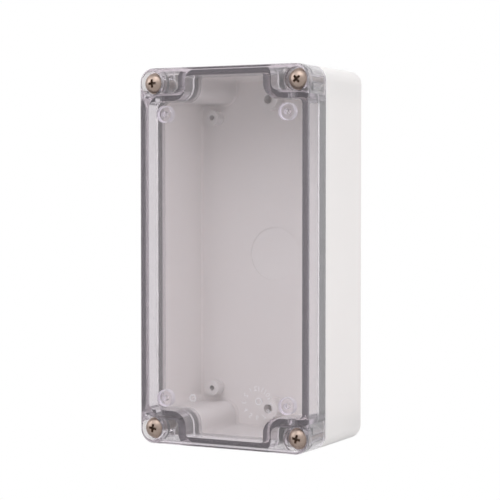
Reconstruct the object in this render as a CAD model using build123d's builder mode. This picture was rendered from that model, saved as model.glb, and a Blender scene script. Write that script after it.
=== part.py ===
from build123d import *
import os
from math import cos, radians, sin, tan

# A wall-mounting plastic enclosure with a clear lid held by four corner screws.
# Lengths are in millimetres. The box stands upright: X is its width, Z its height from the
# bottom end, and the lid faces -Y. Depths are counted back from the lid's front face.

# Overall size
box_width = 80.0
box_height = 160.0
box_depth = 55.0
corner_radius = 6.2

# Lid shell
lid_depth = 16.4
lid_plate = 2.7
lid_edge_radius = 1.0
lid_skirt = 1.6
lid_seal_wall = 3.6

# Base shell
seam_gap = 0.1
base_wall = 2.5
base_pocket_wall = 2.0
base_draft_deg = 0.45
base_back_radius = 2.6
cavity_floor_chamfer = 0.9
floor_thickness = 3.0

# The sealed line steps inwards at each corner, which leaves a pocket outside the seal
pocket_width = 18.0
pocket_depth = 10.6
seal_side_radius = 6.0
seal_end_radius = 4.7
seal_step_radius = 3.0
least_radius = 0.6

# Groove in the lid, gasket, and the tongue of the base that presses on it. The gasket has a
# thin leg that lines the groove's outer side down to the joint
outer_lip = 0.8
groove_width = 2.2
groove_depth = 10.8
gasket_height = 3.5
gasket_clearance = 0.05
gasket_leg = 0.4
tongue_clearance = 0.15

# Screws at the four corners
screw_side_inset = 5.8
screw_end_inset = 6.4
counterbore_diameter = 10.0
head_diameter = 8.0
head_height = 2.7
head_chamfer = 1.2
head_sink = 0.3
recess_span = 4.4
recess_slot = 1.2
recess_depth = 1.8
recess_draft_deg = 9.0
washer_diameter = 9.0
washer_thickness = 0.8
washer_clearance = 0.1
waist_diameter = 3.5
waist_length = 2.0
thread_diameter = 4.0
screw_length = 20.0
tip_chamfer = 0.5
screw_hole_clearance = 0.25

# Bosses round the screws in the lid, and posts with brass inserts in the base
collar_diameter = 12.6
collar_floor = 1.8
boss_diameter = 7.0
boss_end_gap = 0.3
rib_inset = 7.5
rib_thickness = 1.6
side_web = 3.0
insert_diameter = 5.0
insert_length = 6.0
insert_sink = 0.2
insert_bore_clearance = 0.03
tip_room = 2.0

# Small standoffs on the lid's inner face and on the base's floor
standoff_side_inset = 11.0
standoff_end_inset = 19.5
lid_standoff_diameter = 7.2
lid_standoff_height = 3.3
lid_standoff_hole = 2.4
lid_standoff_hole_depth = 3.6
floor_standoff_diameter = 6.6
floor_standoff_height = 5.5
floor_standoff_hole = 2.4
floor_standoff_hole_depth = 5.0
centre_post_inset = 12.0
centre_post_diameter = 9.2
centre_post_height = 7.0
centre_post_hole = 4.0
centre_post_hole_depth = 6.0
floor_disc_diameter = 23.7
floor_disc_depth = 0.4

# A relief in the lid's seal wall beside each screw
relief_side_inset = 8.5
relief_width = 3.2
relief_height = 2.3
relief_end_depth = 6.5

# Back of the base
back_recess = 2.0
back_rim = 5.0
wall_hole_side_inset = 14.0
wall_hole_end_inset = 6.2
wall_hole_diameter = 4.3

# Sizes that follow from the ones above
half_width = box_width / 2
half_height = box_height / 2
half_depth = box_depth / 2
pocket_x = half_width - pocket_width
pocket_z = half_height - pocket_depth
screw_x = half_width - screw_side_inset
screw_z = half_height - screw_end_inset
rib_x = half_width - rib_inset
relief_x = half_width - relief_side_inset
standoff_spacing_x = box_width - 2 * standoff_side_inset
standoff_spacing_z = box_height - 2 * standoff_end_inset
centre_post_spacing = box_height - 2 * centre_post_inset
wall_hole_spacing_x = box_width - 2 * wall_hole_side_inset
wall_hole_spacing_z = box_height - 2 * wall_hole_end_inset
boss_radius = boss_diameter / 2
rim_depth = lid_depth + seam_gap
washer_depth = head_sink + head_height
seat_depth = washer_depth + washer_thickness
boss_end_depth = lid_depth - boss_end_gap
screw_hole_diameter = thread_diameter + 2 * screw_hole_clearance
insert_depth = rim_depth + insert_sink
screw_end_depth = washer_depth + screw_length
gasket_end_depth = groove_depth + gasket_clearance + gasket_height
base_draft_step = tan(radians(base_draft_deg))
groove_inner = outer_lip + groove_width
gasket_leg_inner = outer_lip + gasket_clearance + gasket_leg
match = 0.001

# Each corner: its side (-1 left, 1 right), its end (-1 bottom, 1 top), and how far its
# cross recess is turned
corners = {
    "top_left": (-1, 1, 4),
    "top_right": (1, 1, 40),
    "bottom_left": (-1, -1, -8),
    "bottom_right": (1, -1, -12),
}
screw_places = [(side * screw_x, end * screw_z) for side, end, turn in corners.values()]


def section(depth, place=(0, 0), turn=0):
    """A plane facing the front, this far behind the lid's face, centred on the box or on a place."""
    origin = (place[0], depth - half_depth, half_height + place[1])
    turned_x = (cos(radians(turn)), 0, sin(radians(turn)))
    return Plane(origin=origin, x_dir=turned_x, z_dir=(0, -1, 0))


def outline(inset):
    """The box's rounded outline, moved inwards by inset."""
    RectangleRounded(box_width - 2 * inset, box_height - 2 * inset, corner_radius - inset)


def sealed_region(inset):
    """What the seal line encloses, moved inwards by inset: a rectangle with its corners stepped in."""
    side = half_width - inset
    end = half_height - inset
    step_x = pocket_x - inset
    step_z = pocket_z - inset
    with BuildSketch(mode=Mode.PRIVATE) as region:
        Rectangle(2 * side, 2 * step_z)
        Rectangle(2 * step_x, 2 * end)
        at_sides = region.vertices().filter_by(lambda v: abs(v.X) > step_x + match)
        fillet(at_sides, max(seal_side_radius - inset, least_radius))
        at_ends = region.vertices().filter_by(lambda v: abs(v.Y) > step_z + match)
        fillet(at_ends, max(seal_end_radius - inset, least_radius))
        within_steps = region.vertices().filter_by(lambda v: abs(v.X) < step_x + match)
        at_steps = within_steps.filter_by(lambda v: abs(v.Y) < step_z + match)
        fillet(at_steps, seal_step_radius + inset)
    return region.sketch


def seal_band(outside, inside):
    """The strip of the current sketch between two insets from the seal wall's outer face."""
    add(sealed_region(outside))
    add(sealed_region(inside), mode=Mode.SUBTRACT)


def corner_pockets(wall, column_radius):
    """The hollows outside the seal line, less the screw columns and the ribs that brace them."""
    outline(wall)
    add(sealed_region(0), mode=Mode.SUBTRACT)
    with Locations(*screw_places):
        Circle(column_radius, mode=Mode.SUBTRACT)
    for side, end, turn in corners.values():
        web_x = side * (screw_x + half_width) / 2
        with Locations((web_x, end * screw_z)):
            Rectangle(half_width - screw_x, side_web, mode=Mode.SUBTRACT)
        rib_z = end * (screw_z + half_height) / 2
        with Locations((side * rib_x, rib_z)):
            Rectangle(rib_thickness, half_height - screw_z, mode=Mode.SUBTRACT)


def standoff_places():
    """The four small standoffs, on the lid and on the base's floor alike."""
    return GridLocations(standoff_spacing_x, standoff_spacing_z, 2, 2)


# Base: the opaque tray, drafted so that it narrows towards the back
back_inset = base_draft_step * (box_depth - rim_depth)
well_floor_depth = box_depth - floor_thickness
cavity_floor_depth = well_floor_depth - back_recess
floor_inset = base_wall + base_draft_step * (cavity_floor_depth - rim_depth)
with BuildPart() as base_box:
    with BuildSketch(section(box_depth)):
        outline(back_inset)
    extrude(amount=box_depth - rim_depth, taper=-base_draft_deg)
    fillet(base_box.faces().sort_by(Axis.Y)[-1].edges(), base_back_radius)
    with BuildSketch(section(cavity_floor_depth)):
        add(sealed_region(floor_inset))
    extrude(amount=cavity_floor_depth - rim_depth, taper=-base_draft_deg, mode=Mode.SUBTRACT)
    floor_depth_y = cavity_floor_depth - half_depth
    cavity_floor = base_box.faces().filter_by(Axis.Y).filter_by_position(
        Axis.Y, floor_depth_y - match, floor_depth_y + match)
    chamfer(cavity_floor.edges(), cavity_floor_chamfer)
    with BuildSketch(section(well_floor_depth)):
        corner_pockets(base_pocket_wall, boss_radius)
    extrude(amount=well_floor_depth - rim_depth, mode=Mode.SUBTRACT)
    with BuildSketch(section(rim_depth)):
        seal_band(gasket_leg_inner + tongue_clearance, base_wall)
    extrude(amount=rim_depth - gasket_end_depth - gasket_clearance)
    with BuildSketch(section(box_depth)):
        add(sealed_region(back_inset + back_rim))
    extrude(amount=back_recess, mode=Mode.SUBTRACT)
    with BuildSketch(section(box_depth)):
        with GridLocations(wall_hole_spacing_x, wall_hole_spacing_z, 2, 2):
            Circle(wall_hole_diameter / 2)
    extrude(amount=floor_thickness, mode=Mode.SUBTRACT)
    with BuildSketch(section(screw_end_depth + tip_room)):
        with Locations(*screw_places):
            Circle(insert_diameter / 2)
    extrude(amount=screw_end_depth + tip_room - rim_depth, mode=Mode.SUBTRACT)
    with BuildSketch(section(cavity_floor_depth + floor_disc_depth)):
        Circle(floor_disc_diameter / 2)
    extrude(amount=floor_disc_depth, mode=Mode.SUBTRACT)
    with BuildSketch(section(cavity_floor_depth)):
        with standoff_places():
            Circle(floor_standoff_diameter / 2)
    extrude(amount=floor_standoff_height)
    with BuildSketch(section(cavity_floor_depth)):
        with GridLocations(0, centre_post_spacing, 1, 2):
            Circle(centre_post_diameter / 2)
    extrude(amount=centre_post_height)
    with BuildSketch(section(cavity_floor_depth - floor_standoff_height)):
        with standoff_places():
            Circle(floor_standoff_hole / 2)
    extrude(amount=-floor_standoff_hole_depth, mode=Mode.SUBTRACT)
    with BuildSketch(section(cavity_floor_depth - centre_post_height)):
        with GridLocations(0, centre_post_spacing, 1, 2):
            Circle(centre_post_hole / 2)
    extrude(amount=-centre_post_hole_depth, mode=Mode.SUBTRACT)

# Lid: a clear plate with a deep rim. The seal wall carries the gasket groove, and the collars,
# bosses and ribs stand in the pockets outside it
collar_end_depth = seat_depth + collar_floor
with BuildPart() as clear_lid:
    with BuildSketch(section(lid_depth)):
        outline(0)
    extrude(amount=lid_depth)
    fillet(clear_lid.faces().sort_by(Axis.Y)[0].edges(), lid_edge_radius)
    with BuildSketch(section(lid_depth)):
        add(sealed_region(lid_seal_wall))
    extrude(amount=lid_depth - lid_plate, mode=Mode.SUBTRACT)
    with BuildSketch(section(collar_end_depth)):
        corner_pockets(lid_skirt, collar_diameter / 2)
    extrude(amount=collar_end_depth - lid_plate, mode=Mode.SUBTRACT)
    with BuildSketch(section(lid_depth)):
        corner_pockets(lid_skirt, boss_radius)
    extrude(amount=lid_depth - collar_end_depth, mode=Mode.SUBTRACT)
    with BuildSketch(section(lid_depth)):
        with Locations(*screw_places):
            Circle(boss_radius)
    extrude(amount=lid_depth - boss_end_depth, mode=Mode.SUBTRACT)
    with BuildSketch(section(lid_depth)):
        seal_band(outer_lip, groove_inner)
    extrude(amount=lid_depth - groove_depth, mode=Mode.SUBTRACT)
    with BuildSketch(section(seat_depth)):
        with Locations(*screw_places):
            Circle(counterbore_diameter / 2)
    extrude(amount=seat_depth, mode=Mode.SUBTRACT)
    with BuildSketch(section(lid_depth)):
        with Locations(*screw_places):
            Circle(screw_hole_diameter / 2)
    extrude(amount=lid_depth - seat_depth, mode=Mode.SUBTRACT)
    with BuildSketch(section(relief_end_depth)):
        relief_z = half_height - pocket_depth - lid_seal_wall + relief_height / 2
        with GridLocations(2 * relief_x, 2 * relief_z, 2, 2):
            Rectangle(relief_width, relief_height)
    extrude(amount=relief_end_depth - lid_plate, mode=Mode.SUBTRACT)
    with BuildSketch(section(lid_plate)):
        with standoff_places():
            Circle(lid_standoff_diameter / 2)
    extrude(amount=-lid_standoff_height)
    with BuildSketch(section(lid_plate + lid_standoff_height)):
        with standoff_places():
            Circle(lid_standoff_hole / 2)
    extrude(amount=lid_standoff_hole_depth, mode=Mode.SUBTRACT)

# Gasket: one strip of rubber that fills the groove all the way round, with its leg outside the
# base's tongue
with BuildPart() as gasket:
    with BuildSketch(section(gasket_end_depth)):
        seal_band(outer_lip + gasket_clearance, groove_inner - gasket_clearance)
    extrude(amount=gasket_height)
    with BuildSketch(section(lid_depth)):
        seal_band(outer_lip + gasket_clearance, gasket_leg_inner)
    extrude(amount=lid_depth - gasket_end_depth)


def corner_screw(place, turn):
    """A machine screw with a bevelled head, a cross recess and a waist that keeps its washer on."""
    with BuildPart() as screw:
        with BuildSketch(section(washer_depth, place)):
            Circle(head_diameter / 2)
        extrude(amount=head_height)
        chamfer(screw.edges().sort_by(Axis.Y)[0], head_chamfer)
        with BuildSketch(section(washer_depth, place)):
            Circle(waist_diameter / 2)
        extrude(amount=-waist_length)
        with BuildSketch(section(washer_depth + waist_length, place)):
            Circle(thread_diameter / 2)
        extrude(amount=waist_length - screw_length)
        chamfer(screw.edges().sort_by(Axis.Y)[-1], tip_chamfer)
        with BuildSketch(section(head_sink, place, turn)):
            Rectangle(recess_span, recess_slot)
            Rectangle(recess_slot, recess_span)
        extrude(amount=-recess_depth, taper=recess_draft_deg, mode=Mode.SUBTRACT)
    return screw.part


def captive_washer(place):
    """A flat washer under the head, held by the thread below the screw's waist."""
    with BuildPart() as washer:
        with BuildSketch(section(seat_depth, place)):
            Circle(washer_diameter / 2)
            Circle(waist_diameter / 2 + washer_clearance, mode=Mode.SUBTRACT)
        extrude(amount=washer_thickness)
    return washer.part


def threaded_insert(place):
    """A brass sleeve pressed into the base's post, bored to the screw's thread."""
    with BuildPart() as sleeve:
        with BuildSketch(section(insert_depth + insert_length, place)):
            Circle(insert_diameter / 2)
            Circle(thread_diameter / 2 + insert_bore_clearance, mode=Mode.SUBTRACT)
        extrude(amount=insert_length)
    return sleeve.part


pieces = {"base_box": base_box.part, "clear_lid": clear_lid.part, "gasket": gasket.part}
for corner, (side, end, turn) in corners.items():
    place = (side * screw_x, end * screw_z)
    pieces["lid_screw_" + corner] = corner_screw(place, turn)
    pieces["screw_washer_" + corner] = captive_washer(place)
    pieces["threaded_insert_" + corner] = threaded_insert(place)

os.makedirs("parts", exist_ok=True)
for name, piece in pieces.items():
    piece.label = name
    export_step(piece, "parts/" + name + ".step")
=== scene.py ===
# %% [markdown]
# # A plastic enclosure with a clear lid
# The object is a small upright box for electronics. An opaque tray, pale warm grey, carries a deep
# clear lid, and four screws clamp the lid onto a rubber strip. Almost everything that a viewer
# sees here is seen through the lid, so this lesson is mostly about clear plastic: how thick its
# walls are, what stands behind them, and where the light comes from.

# %% Load the frame and a way to read the size of its parts
import math

import bpy
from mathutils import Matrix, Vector


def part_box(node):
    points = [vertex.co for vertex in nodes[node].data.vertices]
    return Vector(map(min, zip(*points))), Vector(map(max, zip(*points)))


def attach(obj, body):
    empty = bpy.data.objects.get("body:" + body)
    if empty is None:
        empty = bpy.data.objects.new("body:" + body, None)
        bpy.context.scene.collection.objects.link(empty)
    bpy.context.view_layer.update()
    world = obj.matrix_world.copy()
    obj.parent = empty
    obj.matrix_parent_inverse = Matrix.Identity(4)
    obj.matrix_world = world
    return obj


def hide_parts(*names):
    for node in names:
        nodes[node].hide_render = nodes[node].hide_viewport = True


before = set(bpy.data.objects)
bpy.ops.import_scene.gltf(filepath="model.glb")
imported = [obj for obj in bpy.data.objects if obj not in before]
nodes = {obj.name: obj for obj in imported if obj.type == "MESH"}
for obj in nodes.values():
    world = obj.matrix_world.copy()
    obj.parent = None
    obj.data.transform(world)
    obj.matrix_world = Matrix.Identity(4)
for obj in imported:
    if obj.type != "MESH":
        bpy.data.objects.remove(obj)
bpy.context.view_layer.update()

# %% [markdown]
# ## The camera
# The photograph was taken with a long lens from the right of the box, a little above the floor.
# The place, the turn and the lens below were found by matching the box's eight outer corners, so
# they are kept as measured values and nothing else in the script depends on them.

# %% Place the camera
camera_place = (0.33597, -0.64074, 0.10914)
camera_tilt_deg = 87.89
camera_turn_deg = 27.76
camera_lens = 120.86

camera_data = bpy.data.cameras.new("camera")
camera_data.lens = camera_lens
camera_data.clip_start = 0.01
camera = bpy.data.objects.new("camera", camera_data)
camera.location = camera_place
camera.rotation_euler = (math.radians(camera_tilt_deg), 0, math.radians(camera_turn_deg))
bpy.context.scene.collection.objects.link(camera)
bpy.context.scene.camera = camera
print("camera", round(Vector(camera_place).length, 3), "m from the box's foot")

# %% [markdown]
# ## Writing shader maths as Python
# A material is a graph of nodes. Adding each one by hand hides what the graph works out, so one
# small class wraps an output socket. Arithmetic on it then adds the Math nodes, and one function
# adds any other node from its type, its settings and the values of its inputs.

# %% A socket that understands arithmetic
class Socket:
    """One output of a shader node. Arithmetic and the methods below add Math nodes behind it."""

    def __init__(self, tree, output):
        self.tree = tree
        self.output = output

    def math(self, operation, *values):
        return new_node(self.tree, "ShaderNodeMath", {"operation": operation}, dict(enumerate(values)))

    def __add__(self, other):
        return self.math("ADD", self, other)

    def __radd__(self, other):
        return self.math("ADD", other, self)

    def __sub__(self, other):
        return self.math("SUBTRACT", self, other)

    def __rsub__(self, other):
        return self.math("SUBTRACT", other, self)

    def __mul__(self, other):
        return self.math("MULTIPLY", self, other)

    def __rmul__(self, other):
        return self.math("MULTIPLY", other, self)

    def __truediv__(self, other):
        return self.math("DIVIDE", self, other)

    def absolute(self):
        return self.math("ABSOLUTE", self)

    def square_root(self):
        return self.math("SQRT", self)

    def larger(self, other):
        return self.math("MAXIMUM", self, other)

    def smaller(self, other):
        return self.math("MINIMUM", self, other)

    def is_below(self, other):
        """1 where the value is less than other, and 0 elsewhere."""
        return self.math("LESS_THAN", self, other)

    def smooth_step(self, low, high):
        """0 below low, 1 above high, and a soft change between them."""
        settings = {"interpolation_type": "SMOOTHSTEP"}
        return new_node(self.tree, "ShaderNodeMapRange", settings, {0: self, 1: low, 2: high})


def new_node(tree, kind, settings, inputs, output=0):
    """Adds a node, sets its settings, fills or links its inputs, and returns one of its outputs."""
    node = tree.nodes.new(kind)
    for name, value in settings.items():
        setattr(node, name, value)
    for name, value in inputs.items():
        if isinstance(value, Socket):
            tree.links.new(value.output, node.inputs[name])
        else:
            node.inputs[name].default_value = value
    return Socket(tree, node.outputs[output])


def mix_colours(tree, factor, first, second):
    """A colour between first and second. Sockets 6 and 7 are the Mix node's two colours."""
    return new_node(tree, "ShaderNodeMix", {"data_type": "RGBA"}, {0: factor, 6: first, 7: second}, 2)


def coordinate(tree, axis, space="Object"):
    """X, Y or Z of each point in the object's own frame, in metres. In Normal space, of its normal."""
    place = new_node(tree, "ShaderNodeTexCoord", {}, {}, space)
    return new_node(tree, "ShaderNodeSeparateXYZ", {}, {"Vector": place}, axis)


def noise(tree, scale, detail, stretch=(1, 1, 1)):
    """A cloudy pattern from 0 to 1 on the object's own coordinates, in waves per metre."""
    place = new_node(tree, "ShaderNodeTexCoord", {}, {}, "Object")
    place = new_node(tree, "ShaderNodeMapping", {}, {"Vector": place, "Scale": stretch})
    return new_node(tree, "ShaderNodeTexNoise", {}, {"Vector": place, "Scale": scale, "Detail": detail})


def bump(tree, height, distance, strength=1.0):
    """A surface normal from a height, where a height of 1 stands for this many metres."""
    inputs = {"Height": height, "Distance": distance, "Strength": strength}
    return new_node(tree, "ShaderNodeBump", {}, inputs)


def new_material(name):
    """An empty material, its node tree and its output node."""
    material = bpy.data.materials.new(name)
    material.use_nodes = True
    tree = material.node_tree
    tree.nodes.clear()
    return material, tree, tree.nodes.new("ShaderNodeOutputMaterial")


def from_srgb(red, green, blue):
    """A colour as it is picked from a picture, 0 to 255, in the linear values that shaders use."""
    shares = [value / 255 for value in (red, green, blue)]
    linear = [s / 12.92 if s <= 0.04045 else ((s + 0.055) / 1.055) ** 2.4 for s in shares]
    return (*linear, 1.0)


print("shader helpers ready")

# %% [markdown]
# ## Moulded grey plastic
# The tray is injection moulded. Its tool was spark eroded, which leaves a very fine satin grain,
# and the plastic is never quite one colour. So the colour drifts by about one level in a hundred
# in broad clouds, the roughness drifts with it, and a grain of about a fifth of a millimetre is
# only a bump of a few micrometres. Its walls are thin and let some light through, which is why
# the inside of such a box never looks dark. Subsurface scattering gives that glow. The shallow
# disc in the middle of the floor is cut in the tray's own mesh. A mix makes it a little paler,
# and a bump shades it as faintly dished.

# %% Make the tray's material
light_reach = 0.004
box_middle = 0.08
disc_radius = 0.01185
disc_front, disc_back = 0.0221, 0.0235
disc_edge_blend = 0.0002
disc_depth_blend = 0.0001
disc_paleness = 0.16
disc_dish = 0.0005
grain_height = 0.000003
tray_colour = from_srgb(240, 236, 235)
tray_cloud_colour = from_srgb(243, 239, 238)
disc_colour = from_srgb(252, 249, 248)


def disc_shares(tree):
    """1 on the shallow disc in the floor, and its dish, 1 in the middle and 0 at the edge."""
    x = coordinate(tree, "X")
    y = coordinate(tree, "Y")
    z = coordinate(tree, "Z") - box_middle
    distance = (x * x + z * z).square_root()
    inside = 1.0 - distance.smooth_step(disc_radius - disc_edge_blend, disc_radius)
    above_back = 1.0 - y.smooth_step(disc_back - disc_depth_blend, disc_back)
    disc = inside * above_back * y.smooth_step(disc_front - disc_depth_blend, disc_front)
    return disc, disc * (1.0 - distance * distance / disc_radius ** 2)


def moulded_grey():
    """The tray's plastic: satin, faintly clouded, and lit a little from within."""
    material, tree, out = new_material("moulded grey plastic")
    clouds = noise(tree, 35, 3)
    grain = noise(tree, 5200, 2)
    colour = mix_colours(tree, clouds, tray_colour, tray_cloud_colour)
    disc, dish = disc_shares(tree)
    colour = mix_colours(tree, disc_paleness * disc, colour, disc_colour)
    height_in_metres = grain_height * grain - disc_dish * dish
    shader = new_node(tree, "ShaderNodeBsdfPrincipled", {}, {
        "Base Color": colour,
        "Roughness": 0.40 + 0.10 * clouds,
        "IOR": 1.49,
        "Specular IOR Level": 0.45,
        "Subsurface Weight": 0.5,
        "Subsurface Radius": (1.0, 0.96, 0.95),
        "Subsurface Scale": light_reach,
        "Normal": bump(tree, height_in_metres, 1.0),
    })
    tree.links.new(shader.output, out.inputs["Surface"])
    return material


tray_plastic = moulded_grey()
print("made", tray_plastic.name)

# %% [markdown]
# ## Clear plastic
# The lid is solid clear plastic with a refractive index of about 1.58. Its window was polished in
# the tool, while the side walls and the pockets round the screws were left satin, so they blur
# what is behind them. Its base colour takes a little light at each wall. A faint violet tint only
# shows along the edges, where the eye looks through centimetres of plastic, and a Volume
# Absorption shader works by that distance. A little of a matt, pale shader, mixed in on the satin
# faces, makes them milky, and a lot of it draws the rims of the four standoffs behind the window.
#
# A path tracer finds lamps through glass only by luck, which leaves the inside of the box dark
# and noisy. So a shadow ray meets a Transparent shader instead of the glass: the lamps then reach
# the inside, while every ray that the eye follows still bends as it should.

# %% Make the lid's material
lid_index = 1.58
lid_tint = (0.90, 0.89, 0.895, 1.0)
lid_depth_tint = (0.84, 0.80, 0.84, 1.0)
depth_tint_per_metre = 100.0
satin_roughness = 0.12
window_roughness = 0.01
cloud_darkening = 0.985
lid_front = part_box("clear_lid")[0].y
window_thickness = 0.0027
window_back = lid_front + window_thickness
wall_facing = (0.6, 0.9)
satin_depths = (0.0002, 0.0004)
haze_colour = (0.96, 0.94, 0.985, 1.0)
satin_haze = 0.09
standoff_haze = 0.75
standoff_radius = 0.0037
standoff_rim = 0.0007
rim_full_share = 0.7
standoff_edge_blend = 0.0001
standoff_depths = (0.0001, 0.0003)
standoff_aside, standoff_along = 0.029, 0.0605


def satin_share(tree):
    """0 on the polished window, 1 on the walls and on all that lies deeper than the window."""
    facing = coordinate(tree, "Y", "Normal").absolute()
    wall = 1.0 - facing.smooth_step(*wall_facing)
    starts, ends = [window_back + depth for depth in satin_depths]
    return coordinate(tree, "Y").smooth_step(starts, ends).larger(wall)


def standoff_share(tree):
    """1 on the rims of the four standoffs behind the window, which mirror each other."""
    x = coordinate(tree, "X")
    y = coordinate(tree, "Y")
    z = coordinate(tree, "Z") - box_middle
    aside = x.absolute() - standoff_aside
    along = z.absolute() - standoff_along
    distance = (aside * aside + along * along).square_root()
    rim = 1.0 - distance.smooth_step(standoff_radius, standoff_radius + standoff_edge_blend)
    rim_starts = standoff_radius - standoff_rim
    rim_is_full = standoff_radius - rim_full_share * standoff_rim
    rim = rim * distance.smooth_step(rim_starts, rim_is_full)
    starts, ends = [window_back + depth for depth in standoff_depths]
    return rim * y.smooth_step(starts, ends)


def clear_plastic():
    """The lid's plastic: polished glass-like window, satin walls, tint by depth, clear to lamps."""
    material, tree, out = new_material("clear lid plastic")
    clouds = noise(tree, 60, 2)
    satin = satin_share(tree)
    darker = tuple(cloud_darkening * c for c in lid_tint[:3]) + (1.0,)
    shader = new_node(tree, "ShaderNodeBsdfPrincipled", {}, {
        "Base Color": mix_colours(tree, clouds, lid_tint, darker),
        "Roughness": satin_roughness * satin + window_roughness * clouds,
        "IOR": lid_index,
        "Transmission Weight": 1.0,
    })
    haze = new_node(tree, "ShaderNodeBsdfPrincipled", {}, {
        "Base Color": haze_colour,
        "Roughness": 0.5 + 0.1 * clouds,
    })
    haze_share = satin_haze * satin + standoff_haze * standoff_share(tree)
    surface = new_node(tree, "ShaderNodeMixShader", {}, {0: haze_share, 1: shader, 2: haze})
    let_through = new_node(tree, "ShaderNodeBsdfTransparent", {}, {"Color": (1, 1, 1, 1)})
    is_shadow = new_node(tree, "ShaderNodeLightPath", {}, {}, "Is Shadow Ray")
    both = new_node(tree, "ShaderNodeMixShader", {}, {0: is_shadow, 1: surface, 2: let_through})
    tree.links.new(both.output, out.inputs["Surface"])
    inside = {"Color": lid_depth_tint, "Density": depth_tint_per_metre}
    absorption = new_node(tree, "ShaderNodeVolumeAbsorption", {}, inside)
    tree.links.new(absorption.output, out.inputs["Volume"])
    return material


lid_plastic = clear_plastic()
print("made", lid_plastic.name)

# %% [markdown]
# ## Mould marks
# Numbers and rings that are cut into a mould come out as raised marks. Their skin is rough, so it
# scatters light and they show pale against the clear window.

# %% Make the mould marks' material
mark_white = (0.99, 0.98, 0.99, 1)
mark_grey = (0.93, 0.92, 0.93, 1)


def frosted_mark():
    """The lid's plastic where its skin is rough, nearly white and hardly clear."""
    material, tree, out = new_material("frosted mould mark")
    grain = noise(tree, 4000, 2)
    shader = new_node(tree, "ShaderNodeBsdfPrincipled", {}, {
        "Base Color": mix_colours(tree, grain, mark_white, mark_grey),
        "Roughness": 0.45 + 0.15 * grain,
        "IOR": lid_index,
        "Transmission Weight": 0.10,
    })
    tree.links.new(shader.output, out.inputs["Surface"])
    return material


mark_plastic = frosted_mark()
print("made", mark_plastic.name)

# %% [markdown]
# ## Rubber, nickel and brass
# The strip in the groove is dark rubber with a matt, slightly dusty skin. The screws are nickel
# plated, a warm beige metal. Their cross recesses carry painted shade: on the faces that an attribute
# called recess marks on the mesh, the colour turns dark brown and the metal dull. The inserts are
# turned brass.

# %% Make the small pieces' materials
rubber_dark = (0.014, 0.009, 0.013, 1)
rubber_dusty = (0.028, 0.020, 0.026, 1)
warm_light = (0.41, 0.33, 0.285, 1)
warm_dark = (0.26, 0.195, 0.165, 1)
# Painted shade for the screws' cross recesses, and how much of their metal look it takes away.
recess_painted_shade = (0.14, 0.085, 0.055, 1)
painted_shade_cover = 0.85
brass_light = (0.78, 0.58, 0.28, 1)
brass_dark = (0.66, 0.47, 0.20, 1)


def seal_rubber():
    """Dark rubber, a little paler where dust lies."""
    material, tree, out = new_material("seal rubber")
    dust = noise(tree, 900, 4)
    shader = new_node(tree, "ShaderNodeBsdfPrincipled", {}, {
        "Base Color": mix_colours(tree, dust, rubber_dark, rubber_dusty),
        "Roughness": 0.62 + 0.2 * dust,
        "Normal": bump(tree, dust, 0.00002, 0.5),
    })
    tree.links.new(shader.output, out.inputs["Surface"])
    return material


def plated_metal(name, light, dark, recess_shade_colour=None):
    """Plated metal with fine wear. A painted shade colour for the recess is mixed in by the mesh's own
    attribute.
    """
    material, tree, out = new_material(name)
    wear = noise(tree, 1400, 3)
    scratches = noise(tree, 3000, 2, (1, 1, 0.15))
    colour = mix_colours(tree, wear, light, dark)
    metallic = 1.0
    # Painted shade: where the recess attribute is 1, the colour turns dark brown and the metal dull.
    if recess_shade_colour is not None:
        mark = new_node(tree, "ShaderNodeAttribute", {"attribute_name": "recess"}, {}, "Fac")
        colour = mix_colours(tree, mark, colour, recess_shade_colour)
        metallic = 1.0 - painted_shade_cover * mark
    shader = new_node(tree, "ShaderNodeBsdfPrincipled", {}, {
        "Base Color": colour,
        "Metallic": metallic,
        "Roughness": 0.30 + 0.16 * wear,
        "Normal": bump(tree, scratches, 0.000008, 0.6),
    })
    tree.links.new(shader.output, out.inputs["Surface"])
    return material


gasket_rubber = seal_rubber()
screw_nickel = plated_metal("warm nickel", warm_light, warm_dark, recess_painted_shade)
washer_nickel = plated_metal("washer nickel", warm_light, warm_dark)
insert_brass = plated_metal("turned brass", brass_light, brass_dark)
print("made", gasket_rubber.name, screw_nickel.name, washer_nickel.name, insert_brass.name)

# %% [markdown]
# ## The moulded pieces
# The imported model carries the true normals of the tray, the lid and the gasket, so their curved
# walls are smooth and their flat walls stay flat. That matters on a clear piece, where a wrong
# normal bends what is seen behind it. So these three keep their CAD shapes and get their finishes.

# %% Give the moulded pieces their finishes
def finish_node(node, material):
    """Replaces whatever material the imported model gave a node."""
    mesh = nodes[node].data
    mesh.materials.clear()
    mesh.materials.append(material)


finish_node("base_box", tray_plastic)
finish_node("clear_lid", lid_plastic)
finish_node("gasket", gasket_rubber)
print("finished the tray, the lid and the gasket")

# %% [markdown]
# ## Turning on a lathe
# Screws, washers, inserts and rings are all round, so each starts as a line of points beside the
# Z axis, drawn as radius and height. Blender's Screw modifier sweeps that line round the axis, and
# with no rise per turn it works as a lathe.

# %% A line of points and what it can be swept into
one_micron = 0.000001
smooth_angle = math.radians(35)


def profile_line(name, points):
    """An open line of vertices in the XZ plane, through points of (radius, height)."""
    bpy.ops.object.select_all(action="DESELECT")
    bpy.ops.mesh.primitive_plane_add(size=0.001, location=(0, 0, 0))
    piece = bpy.context.object
    piece.name = piece.data.name = name
    bpy.ops.object.mode_set(mode="EDIT")
    bpy.ops.mesh.select_mode(type="VERT")
    bpy.ops.mesh.select_all(action="SELECT")
    bpy.ops.mesh.merge(type="CENTER")
    bpy.ops.transform.translate(value=(points[0][0], 0, points[0][1]))
    for (radius, height), (next_radius, next_height) in zip(points, points[1:]):
        step = (next_radius - radius, 0, next_height - height)
        bpy.ops.mesh.extrude_vertices_move(TRANSFORM_OT_translate={"value": step})
    bpy.ops.object.mode_set(mode="OBJECT")
    return piece


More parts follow.
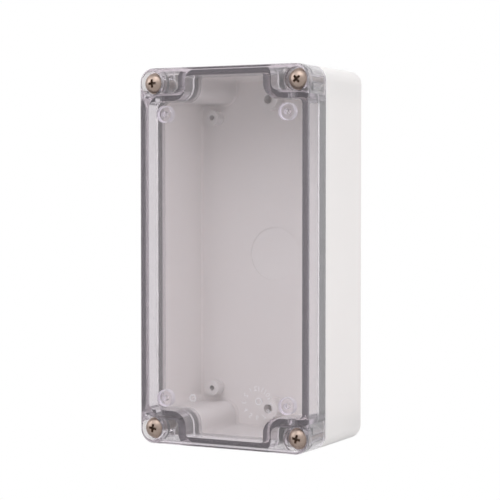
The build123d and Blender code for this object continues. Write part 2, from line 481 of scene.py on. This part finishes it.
def sweep_round(piece, steps, rise=0.0, turns=1):
    """Sweeps a piece's line round the Z axis, rising by this much on each turn."""
    sweep = piece.modifiers.new("sweep", "SCREW")
    sweep.axis = "Z"
    sweep.screw_offset = rise
    sweep.iterations = turns
    sweep.steps = sweep.render_steps = steps
    sweep.use_merge_vertices = True
    sweep.merge_threshold = one_micron
    bpy.ops.object.modifier_apply(modifier="sweep")


def make_active(piece):
    """Selects this piece alone and makes it the active one."""
    bpy.ops.object.select_all(action="DESELECT")
    piece.select_set(True)
    bpy.context.view_layer.objects.active = piece


def close_up(piece):
    """Merges the seam, turns every face outwards and smooths all but the sharp edges."""
    make_active(piece)
    bpy.ops.object.mode_set(mode="EDIT")
    bpy.ops.mesh.select_all(action="SELECT")
    bpy.ops.mesh.remove_doubles(threshold=one_micron)
    bpy.ops.mesh.dissolve_degenerate(threshold=one_micron)
    bpy.ops.mesh.normals_make_consistent(inside=False)
    bpy.ops.object.mode_set(mode="OBJECT")
    bpy.ops.object.shade_smooth_by_angle(angle=smooth_angle)


def turned(name, points, steps=48):
    """A solid turned from a profile whose ends lie on the axis or meet each other."""
    piece = profile_line(name, points)
    sweep_round(piece, steps)
    close_up(piece)
    return piece


print("lathe helpers ready")

# %% [markdown]
# ## Winding a thread
# With a rise per turn the same sweep winds a thread: the profile of one tooth, repeated at the
# pitch, joins up into one surface. It is wound at least two turns too long at each end, and two
# flat cuts close it. The spare turns aren't whole, which keeps vertices off the lower cut.

# %% A threaded rod
flank_share = 0.3
crest_share = 0.15
spare_turns = 2.01
cut_threshold = 0.1 * one_micron


def cut_flat(height, **thrown_away):
    """Cuts the piece in edit mode at a height, throws one side away and fills the cut."""
    bpy.ops.mesh.select_all(action="SELECT")
    bpy.ops.mesh.bisect(plane_co=(0, 0, height), plane_no=(0, 0, 1), use_fill=True,
                        threshold=cut_threshold, **thrown_away)


def threaded_rod(name, root_radius, crest_radius, pitch, low, high, steps=32):
    """A closed rod with a thread between two heights, cut flat at both ends."""
    flank = flank_share * pitch
    crest = crest_share * pitch
    tooth = [(root_radius, 0), (crest_radius, flank), (crest_radius, flank + crest),
             (root_radius, 2 * flank + crest), (root_radius, pitch)]
    start = low - spare_turns * pitch
    piece = profile_line(name, [(radius, start + height) for radius, height in tooth])
    turns = math.ceil((high - low) / pitch + 2 * spare_turns)
    sweep_round(piece, steps, pitch, turns)
    bpy.ops.object.mode_set(mode="EDIT")
    bpy.ops.mesh.select_all(action="SELECT")
    bpy.ops.mesh.remove_doubles(threshold=one_micron)
    cut_flat(low, clear_inner=True)
    cut_flat(high, clear_outer=True)
    bpy.ops.object.mode_set(mode="OBJECT")
    close_up(piece)
    return piece


print("thread: flanks", flank_share, "and crest", crest_share, "of the pitch")

# %% [markdown]
# ## Joining and cutting
# A Boolean modifier joins two closed solids, cuts one out of the other or keeps what they share.

# %% Combine a piece with a tool
def combine(piece, tool, operation):
    """Joins, cuts or keeps the overlap of a piece and a tool, and uses the tool up."""
    make_active(piece)
    step = piece.modifiers.new("combine", "BOOLEAN")
    step.operation = operation
    step.solver = "EXACT"
    step.object = tool
    bpy.ops.object.modifier_apply(modifier="combine")
    bpy.data.objects.remove(tool, do_unlink=True)


print("solids can be combined")

# %% [markdown]
# ## Where the fasteners sit
# Every screw faces -Y, so each fastener is modelled upright on the Z axis with its head on top,
# and height 0 at the head's seat. The sizes come from the frame: the box of a washer gives the
# seat, and the box of a screw gives the head's front and the tip.

# %% Read the fasteners' sizes from the frame
screw_low, screw_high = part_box("lid_screw_top_left")
washer_low, washer_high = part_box("screw_washer_top_left")
insert_low, insert_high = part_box("threaded_insert_top_left")
seat_y = washer_low.y
head_height = seat_y - screw_low.y
head_radius = (screw_high.x - screw_low.x) / 2
tip_height = seat_y - screw_high.y
washer_thickness = washer_high.y - washer_low.y
washer_radius = (washer_high.x - washer_low.x) / 2
insert_top = seat_y - insert_low.y
insert_bottom = seat_y - insert_high.y
insert_radius = (insert_high.x - insert_low.x) / 2
print("head height", round(1000 * head_height, 2), "mm, tip at", round(1000 * tip_height, 2), "mm")

# %% [markdown]
# ## The screw
# A pan head has an upright side and a shallow dome, here an arc of 6.5 mm radius. The head's lower
# edge is cut off at 45 degrees and its upper edge is eased in two steps. Below it a waist thinner
# than the thread keeps the washer from falling off.

# %% Turn the head and the waist, wind the thread
thread_pitch = 0.0007
thread_radius = 0.002
thread_root = 0.00165
waist_radius = 0.00175
waist_length = 0.002
tip_chamfer = 0.0005
dome_radius = 0.0065
dome_steps = 9
head_edge = 0.0002
waist_overlap = 0.0002
envelope_room = 0.0004


def dome_height(radius):
    """Height of the domed top at a distance from the axis."""
    return head_height - dome_radius + math.sqrt(dome_radius ** 2 - radius ** 2)


def screw_blank():
    """The head and the waist, which reaches a little into the thread so that the two join."""
    shoulder = head_radius - head_edge
    waist_end = -waist_length - waist_overlap
    profile = [(0, waist_end), (waist_radius, waist_end), (waist_radius, 0)]
    profile += [(head_radius - 0.5 * head_edge, 0), (head_radius, 0.5 * head_edge)]
    profile += [(head_radius, dome_height(shoulder) - 1.3 * head_edge)]
    profile += [(head_radius - 0.25 * head_edge, dome_height(shoulder) - 0.5 * head_edge)]
    for step in range(dome_steps):
        radius = shoulder * (1 - step / dome_steps)
        profile += [(radius, dome_height(radius))]
    profile += [(0, head_height)]
    return turned("lid_screw", profile)


def pointed_thread():
    """The threaded length, with its tip turned down to a chamfer."""
    rod = threaded_rod("thread", thread_root, thread_radius, thread_pitch, tip_height, -waist_length)
    outside = thread_radius + envelope_room
    envelope = turned("envelope", [
        (0, tip_height), (thread_radius - tip_chamfer, tip_height),
        (outside, tip_height + tip_chamfer + envelope_room), (outside, 0), (0, 0)])
    combine(rod, envelope, "INTERSECT")
    return rod


screw_master = screw_blank()
combine(screw_master, pointed_thread(), "UNION")
print("screw without its recess:", len(screw_master.data.polygons), "faces")

# %% [markdown]
# ## The cross recess
# It is cut by a cross that narrows towards its bottom: a small block whose four sides are pulled
# out into arms, and whose bottom faces are then drawn together.

# %% Cut the cross recess
recess_span = 0.0044
recess_slot = 0.00128
recess_depth = 0.0019
recess_floor_share = 0.55
cutter_above = 0.0008
lying_flat = 0.5


def select_faces(piece, wanted):
    """Selects the faces whose middle and normal the wanted rule accepts. The piece is in edit mode."""
    bpy.ops.mesh.select_all(action="DESELECT")
    bpy.ops.object.mode_set(mode="OBJECT")
    for face in piece.data.polygons:
        face.select = wanted(face.center, face.normal)
    bpy.ops.object.mode_set(mode="EDIT")


def cross_cutter():
    """A cross that stands in the head and reaches a little above it, narrower at its bottom."""
    height = recess_depth + cutter_above
    middle_height = head_height + cutter_above - height / 2
    bpy.ops.object.select_all(action="DESELECT")
    bpy.ops.mesh.primitive_cube_add(size=1, location=(0, 0, middle_height))
    cutter = bpy.context.object
    cutter.scale = (recess_slot, recess_slot, height)
    bpy.ops.object.transform_apply(location=True, rotation=True, scale=True)
    bpy.ops.object.mode_set(mode="EDIT")
    bpy.ops.mesh.select_mode(type="FACE")
    select_faces(cutter, lambda middle, normal: abs(normal.z) < lying_flat)
    arm = (recess_span - recess_slot) / 2
    bpy.ops.mesh.extrude_faces_move(TRANSFORM_OT_shrink_fatten={"value": arm})
    floor = head_height + cutter_above - height
    select_faces(cutter, lambda middle, normal: normal.z < -lying_flat)
    share = (recess_floor_share, recess_floor_share, 1)
    bpy.ops.transform.resize(value=share, center_override=(0, 0, floor))
    bpy.ops.object.mode_set(mode="OBJECT")
    close_up(cutter)
    return cutter


cutter = cross_cutter()
print("cross cutter size in mm:", [round(1000 * v, 2) for v in cutter.dimensions])
combine(screw_master, cutter, "DIFFERENCE")
close_up(screw_master)

# %% [markdown]
# ## Finding the recess again
# The painted shade belongs only in the recess, so its faces are told apart from the dome: they lie
# inside the cross's span and clearly under the dome.

# %% Mark the faces of the recess
recess_lowest = 0.1 * head_height
under_dome = 0.00004


def mark_recess(piece):
    """Marks the faces of the recess for the painted shade that the plated metal reads, and counts them.
    """
    marks = piece.data.attributes.new("recess", "FLOAT", "FACE")
    count = 0
    for face in piece.data.polygons:
        radius = math.hypot(face.center.x, face.center.y)
        in_the_span = radius < recess_span / 2 and face.center.z > recess_lowest
        if in_the_span and face.center.z < dome_height(radius) - under_dome:
            marks.data[face.index].value = 1.0
            count += 1
    return count


print("faces in the recess:", mark_recess(screw_master))

# %% [markdown]
# ## The washer and the insert
# The washer is a flat ring with eased edges. The insert is a brass sleeve with a threaded bore.
# Two bands of straight facets grip the post round it, with a groove between them that the plastic
# fills. Each facet is pushed out on its own, which leaves a hairline slit beside the next one.

# %% Turn the washer and the insert
washer_bore = 0.00185
washer_ease = 0.0001
facet_height = 0.00012
facet_band = 0.0022
facet_count = 48
band_slope = 0.1
band_radius_share = 0.99
insert_groove = 0.0003
insert_chamfer = 0.0003
insert_bore_root = 0.00203
insert_bore_crest = 0.0022
bore_room = 0.0002


def flat_ring(name, inner, outer, low, high, ease):
    """A flat ring between two heights with its edges eased."""
    return turned(name, [
        (inner, low + ease), (inner + ease, low), (outer - ease, low), (outer, low + ease),
        (outer, high - ease), (outer - ease, high), (inner + ease, high), (inner, high - ease),
        (inner, low + ease)])


def faceted_insert():
    """The brass sleeve: a turned body, its bands of facets and its threaded bore."""
    body = insert_radius - facet_height
    waist = body - insert_groove
    low_end = insert_bottom + insert_chamfer
    high_end = insert_top - insert_chamfer
    low_band = low_end + facet_band
    high_band = high_end - facet_band
    sleeve = turned("threaded_insert", [
        (0, insert_bottom), (body - insert_chamfer, insert_bottom), (body, low_end),
        (body, low_band), (waist, low_band + insert_groove), (waist, high_band - insert_groove),
        (body, high_band), (body, high_end), (body - insert_chamfer, insert_top),
        (0, insert_top)], facet_count)

    def on_a_band(middle, normal):
        outermost = math.hypot(middle.x, middle.y) > band_radius_share * body
        return outermost and abs(normal.z) < band_slope

    bpy.ops.object.mode_set(mode="EDIT")
    select_faces(sleeve, on_a_band)
    bpy.ops.mesh.extrude_faces_move(TRANSFORM_OT_shrink_fatten={"value": facet_height})
    bpy.ops.object.mode_set(mode="OBJECT")
    bore = threaded_rod("bore", insert_bore_root, insert_bore_crest, thread_pitch,
                        insert_bottom - bore_room, insert_top + bore_room)
    combine(sleeve, bore, "DIFFERENCE")
    close_up(sleeve)
    return sleeve


washer_master = flat_ring("screw_washer", washer_bore, washer_radius, -washer_thickness, 0, washer_ease)
insert_master = faceted_insert()
for master in (washer_master, insert_master):
    print(master.name, len(master.data.polygons), "faces")

# %% [markdown]
# ## One of each at every corner
# Each corner gets its own copy, with its own mesh. A copy is turned to face the front, moved to
# its axis and its place is applied to the mesh, so its object stays at the origin as a CAD node's
# does. Screws stop where they bite, so each cross stands at its own angle.

# %% Place the fasteners
recess_turns_deg = {"top_left": 4, "top_right": 40, "bottom_left": -8, "bottom_right": -12}


def placed_copy(master, name, place, turn_deg=0):
    """A copy of a piece that was modelled upright, turned to face the front at a place."""
    piece = master.copy()
    piece.data = master.data.copy()
    piece.name = piece.data.name = name
    bpy.context.scene.collection.objects.link(piece)
    piece.rotation_euler = (math.radians(90), -math.radians(turn_deg), 0)
    piece.location = place
    make_active(piece)
    bpy.ops.object.transform_apply(location=True, rotation=True, scale=True)
    return piece


def dress(piece, material, body, node=None):
    """Gives a piece its finish and its body, and hides the CAD node that it stands for."""
    piece.data.materials.clear()
    piece.data.materials.append(material)
    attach(piece, body)
    if node is not None:
        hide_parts(node)


for corner, turn in recess_turns_deg.items():
    low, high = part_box("lid_screw_" + corner)
    place = ((low.x + high.x) / 2, seat_y, (low.z + high.z) / 2)
    screw = placed_copy(screw_master, "detailed_screw_" + corner, place, turn)
    dress(screw, screw_nickel, "screw_" + corner, "lid_screw_" + corner)
    washer = placed_copy(washer_master, "detailed_washer_" + corner, place)
    dress(washer, washer_nickel, "washer_" + corner, "screw_washer_" + corner)
    insert = placed_copy(insert_master, "detailed_insert_" + corner, place)
    dress(insert, insert_brass, "base", "threaded_insert_" + corner)
for master in (screw_master, washer_master, insert_master):
    bpy.data.objects.remove(master, do_unlink=True)
print("placed", 3 * len(recess_turns_deg), "fasteners")

# %% [markdown]
# ## Marks on the window's inner face
# Two ejector pins left small rings near the bottom of the window. A date dial was let into the
# mould round one of them: the numbers 1 to 12 stand in a circle. They are cut to be read from
# inside the lid, so from the front they are mirrored.

# %% Rings and dial numbers
mark_sink = 0.00003
ring_ease = 0.00003
ring_height = 0.00025
ring_outer = 0.0016
ring_inner = 0.0011
left_ring_place = (-0.0150, 0.0204)
dial_ring_place = (0.0164, 0.0208)
dial_centre = (0.0157, 0.0200)
dial_radius = 0.0060
number_size = 0.0031
number_height = 0.00015
number_curve_steps = 3
degrees_per_hour = 30


def mark_ring(name, place):
    """A raised ring, sunk a little into the window's inner face, at an X and Z."""
    ring = flat_ring(name + "_master", ring_inner, ring_outer, -ring_height, mark_sink, ring_ease)
    piece = placed_copy(ring, name, (place[0], window_back, place[1]))
    bpy.data.objects.remove(ring, do_unlink=True)
    dress(piece, mark_plastic, "lid")


def dial_number(hour):
    """One number in the XY plane, pushed out to the dial's circle and turned to its hour."""
    bpy.ops.object.select_all(action="DESELECT")
    bpy.ops.object.text_add(align="WORLD", location=(0, 0, 0))
    number = bpy.context.object
    number.data.body = str(hour)
    number.data.align_x = "CENTER"
    number.data.align_y = "CENTER"
    number.data.size = number_size
    number.data.resolution_u = number_curve_steps
    number.data.extrude = number_height / 2
    bpy.ops.object.convert(target="MESH")
    number = bpy.context.object
    angle = -math.radians(degrees_per_hour * hour)
    number.location = (-math.sin(angle) * dial_radius, math.cos(angle) * dial_radius, 0)
    number.rotation_euler = (0, 0, angle)
    bpy.ops.object.transform_apply(location=True, rotation=True, scale=True)
    return number


def date_dial():
    """The twelve numbers as one piece, turned to be read from inside the lid."""
    numbers = [dial_number(hour) for hour in range(1, 13)]
    bpy.ops.object.select_all(action="DESELECT")
    for number in numbers:
        number.select_set(True)
    bpy.context.view_layer.objects.active = numbers[0]
    bpy.ops.object.join()
    dial = bpy.context.object
    dial.name = dial.data.name = "lid_dial_numbers"
    dial.rotation_euler = (math.radians(90), 0, math.radians(180))
    dial.location = (dial_centre[0], window_back + number_height / 2 - mark_sink, dial_centre[1])
    bpy.ops.object.transform_apply(location=True, rotation=True, scale=True)
    close_up(dial)
    dress(dial, mark_plastic, "lid")
    return dial


mark_ring("lid_left_ring", left_ring_place)
mark_ring("lid_dial_ring", dial_ring_place)
print("dial numbers:", len(date_dial().data.polygons), "faces")

# %% [markdown]
# ## Floor and backdrop
# The photograph has a plain white surround. The floor and the backdrop show white to the camera,
# and to rays that mirror or pass through the object, while the lamps stay at a plain level. That
# white is only for what the eye follows: once a ray has bounced off a matt surface it finds the
# plain level again, or light that passes through the lid would be counted twice.

# %% Floor
floor_size = 6.0
floor_grey = (0.8, 0.8, 0.8, 1)


def seen_directly(tree):
    """1 for what the eye sees itself, in a mirror or through the lid, and 0 for light on its way in."""
    path = tree.nodes.new("ShaderNodeLightPath")
    seen = Socket(tree, path.outputs["Is Camera Ray"]) + Socket(tree, path.outputs["Is Glossy Ray"])
    seen = seen + Socket(tree, path.outputs["Is Transmission Ray"])
    depth = Socket(tree, path.outputs["Diffuse Depth"])
    return depth.is_below(0.5) * seen.smaller(1.0)


def surround():
    """White to the eye, and plain pale paper to light that has bounced off a matt surface."""
    material, tree, out = new_material("white surround")
    paper = noise(tree, 400, 3)
    diffuse = new_node(tree, "ShaderNodeBsdfPrincipled", {}, {
        "Base Color": floor_grey,
        "Roughness": 0.8 + 0.1 * paper,
    })
    glow = new_node(tree, "ShaderNodeEmission", {}, {"Strength": 1.0})
    both = new_node(tree, "ShaderNodeMixShader", {}, {0: seen_directly(tree), 1: diffuse, 2: glow})
    tree.links.new(both.output, out.inputs["Surface"])
    return material


bpy.ops.object.select_all(action="DESELECT")
bpy.ops.mesh.primitive_plane_add(size=floor_size, location=(0, 0, 0))
floor = bpy.context.object
floor.name = "floor"
floor.data.materials.append(surround())
print("floor", floor_size, "m")

# %% [markdown]
# ## Lamps
# Four large lamps light the box softly. High ones in front and on top reach the tray's floor, and
# the one on the left glows through the tray's thin left wall.

# %% Lamps
box_centre = (0, 0, box_middle)


def area_lamp(name, place, size, power):
    """A square lamp that faces the box. Rays that pass through the lid don't see it."""
    lamp = bpy.data.lights.new(name, "AREA")
    lamp.shape = "SQUARE"
    lamp.size = size
    lamp.energy = power
    holder = bpy.data.objects.new(name, lamp)
    holder.location = place
    holder.rotation_euler = (Vector(box_centre) - Vector(place)).to_track_quat("-Z", "Y").to_euler()
    holder.visible_transmission = False
    bpy.context.scene.collection.objects.link(holder)


area_lamp("front lamp", (0, -1.2, 1.3), 1.2, 11.5)
area_lamp("left lamp", (-1.6, -0.7, 0.8), 1.2, 11)
area_lamp("right lamp", (1.6, -0.5, 0.7), 1.2, 9)
area_lamp("top lamp", (0, 0, 1.6), 1.4, 6)

# %% [markdown]
# ## The world
# It is the backdrop: white where it is seen directly, and a plain, lower level as light.

# %% World
ambient = 0.45
world = bpy.data.worlds.new("studio")
world.use_nodes = True
bpy.context.scene.world = world
tree = world.node_tree
tree.nodes.clear()
strength = ambient + (1.0 - ambient) * seen_directly(tree)
glow = new_node(tree, "ShaderNodeBackground", {}, {"Color": (1, 1, 1, 1), "Strength": strength})
tree.links.new(glow.output, tree.nodes.new("ShaderNodeOutputWorld").inputs["Surface"])
print("world:", world.name, "with light at", ambient)

# %% [markdown]
# ## View and light paths
# The Standard view keeps the white surround white. A ray that crosses the box passes many faces
# of the lid, so it may bounce more often than usual before it is given up.

# %% View settings and light paths
path_bounces = 24
scene = bpy.context.scene
scene.view_settings.view_transform = "Standard"
scene.cycles.max_bounces = path_bounces
scene.cycles.transmission_bounces = path_bounces
scene.cycles.transparent_max_bounces = path_bounces
print("view transform:", scene.view_settings.view_transform)
